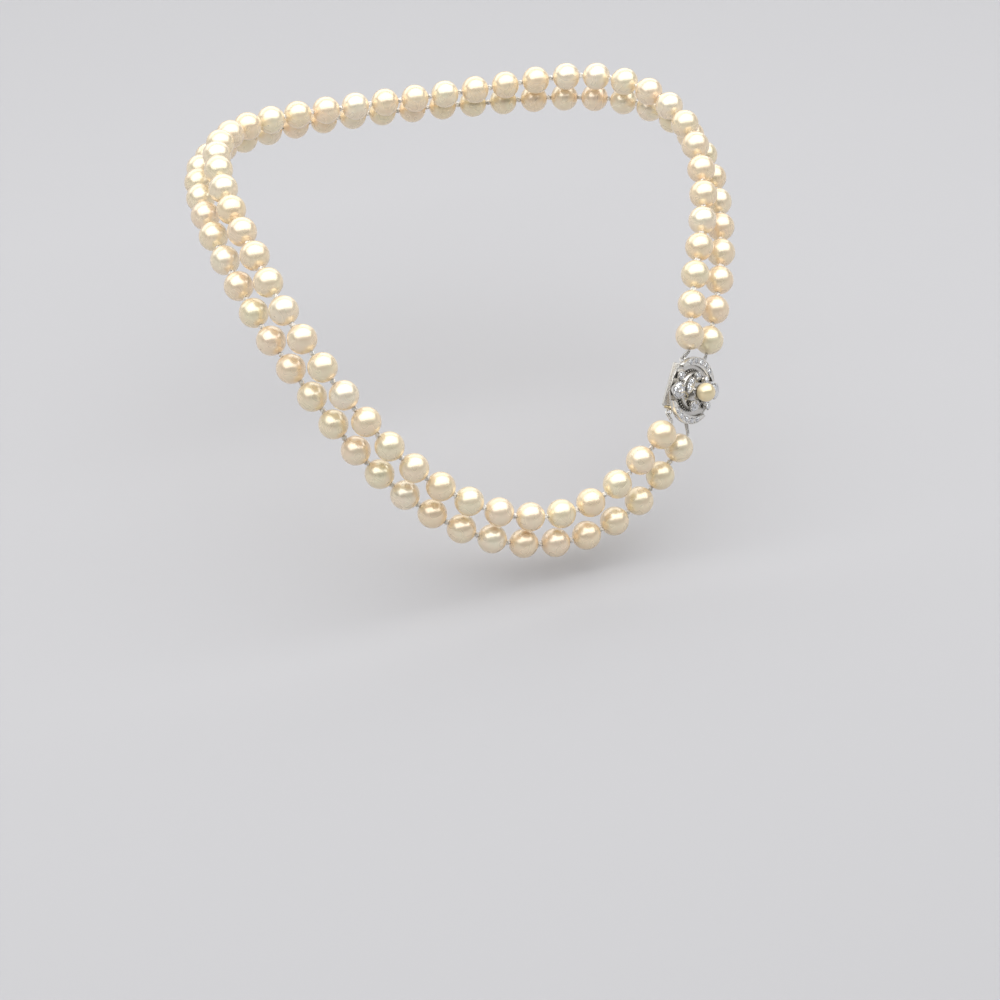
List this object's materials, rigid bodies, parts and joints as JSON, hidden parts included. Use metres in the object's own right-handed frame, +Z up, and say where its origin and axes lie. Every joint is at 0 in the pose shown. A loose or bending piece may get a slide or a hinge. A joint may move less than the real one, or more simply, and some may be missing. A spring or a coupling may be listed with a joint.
{
  "type": "pearl necklace",
  "caption": "Necklace of two knotted rows of round pearls, closed by a jewelled box clasp whose tongue slides out when its spring catch is pressed.",
  "frame": {"origin": "the nape: the middle of the inner row at the back of the neck, where the necklace hangs", "axes": "+Z up, the wearer's front towards -Y, +X to the side the clasp is on"},
  "size_m": [0.1351, 0.1228, 0.0778],
  "materials": {
    "nacre": "lustrous cream pearl",
    "white_gold": "polished white gold",
    "pale_gold": "polished pale gold",
    "silver_wire": "coiled fine wire",
    "clear_stone": "faceted, clear"
  },
  "bodies": {
    "necklace": {"box_ring_inner": "white_gold", "box_ring_outer": "white_gold", "box_side_collet_inner": "white_gold", "box_side_collet_inner_stone": "clear_stone", "box_side_collet_outer": "white_gold", "box_side_collet_outer_stone": "clear_stone", "box_wire_loop_inner": "silver_wire", "box_wire_loop_outer": "silver_wire", "centre_pearl": "nacre", "centre_pearl_cup": "white_gold", "clasp_back_plate": "white_gold", "clasp_box": "white_gold", "cluster_plate": "white_gold", "cluster_tier": "white_gold", "crescent_box_side": "white_gold", "crescent_box_side_stone_1": "clear_stone", "crescent_box_side_stone_2": "clear_stone", "crescent_box_side_stone_3": "clear_stone", "crescent_box_side_stone_4": "clear_stone", "crescent_box_side_stone_5": "clear_stone", "crescent_tongue_side": "white_gold", "crescent_tongue_side_stone_1": "clear_stone", "crescent_tongue_side_stone_2": "clear_stone", "crescent_tongue_side_stone_3": "clear_stone", "crescent_tongue_side_stone_4": "clear_stone", "crescent_tongue_side_stone_5": "clear_stone", "inner_row_left_back": "nacre", "inner_row_left_side": "nacre", "inner_row_right_back": "nacre", "inner_row_right_side": "nacre", "large_collet_inner": "white_gold", "large_collet_inner_stone": "clear_stone", "large_collet_outer": "white_gold", "large_collet_outer_stone": "clear_stone", "marquise_collet_inner": "white_gold", "marquise_collet_inner_stone": "clear_stone", "marquise_collet_outer": "white_gold", "marquise_collet_outer_stone": "clear_stone", "outer_row_left_back": "nacre", "outer_row_left_side": "nacre", "outer_row_right_back": "nacre", "outer_row_right_side": "nacre", "round_collet_inner": "white_gold", "round_collet_inner_stone": "clear_stone", "round_collet_outer": "white_gold", "round_collet_outer_stone": "clear_stone", "tongue_side_collet": "white_gold", "tongue_side_collet_stone": "clear_stone"},
    "tongue": {"tongue_plate": "pale_gold", "tongue_ring_inner": "white_gold", "tongue_ring_outer": "white_gold", "tongue_wire_loop_inner": "silver_wire", "tongue_wire_loop_outer": "silver_wire", "inner_row_tongue_end": "nacre", "outer_row_tongue_end": "nacre"},
    "catch": {"catch_leaf": "pale_gold"},
    "inner_front": {"inner_row_front": "nacre"},
    "outer_front": {"outer_row_front": "nacre"}
  },
  "joints": [
    {"name": "tongue_slide", "type": "slide", "parent": "necklace", "child": "tongue", "axis": [-0.4339, -0.5069, -0.7448], "range_m": [0, 0.008], "deforming": ["catch_leaf"]},
    {"name": "catch_press", "type": "hinge", "parent": "tongue", "child": "catch", "pos_m": [0.04097, -0.09446, -0.03658], "axis": [0.7504, 0.2542, -0.6101], "range_deg": [0, 4.6], "stiffness_Nm_per_rad": 0.05},
    {"name": "inner_front_swing", "type": "hinge", "parent": "necklace", "child": "inner_front", "pos_m": [-0.04958, -0.08933, -0.01658], "axis": [-0.0686, 0.8429, -0.5337], "range_deg": [0, 5.6]},
    {"name": "outer_front_swing", "type": "hinge", "parent": "necklace", "child": "outer_front", "pos_m": [-0.05526, -0.0826, -0.01982], "axis": [-0.0309, 0.8346, -0.55], "range_deg": [0, 4.9]}
  ],
  "couplings": [
    {"joint": "inner_front_swing", "follows": "tongue_slide", "rad_per_m": 12.101},
    {"joint": "outer_front_swing", "follows": "tongue_slide", "rad_per_m": 10.464}
  ]
}
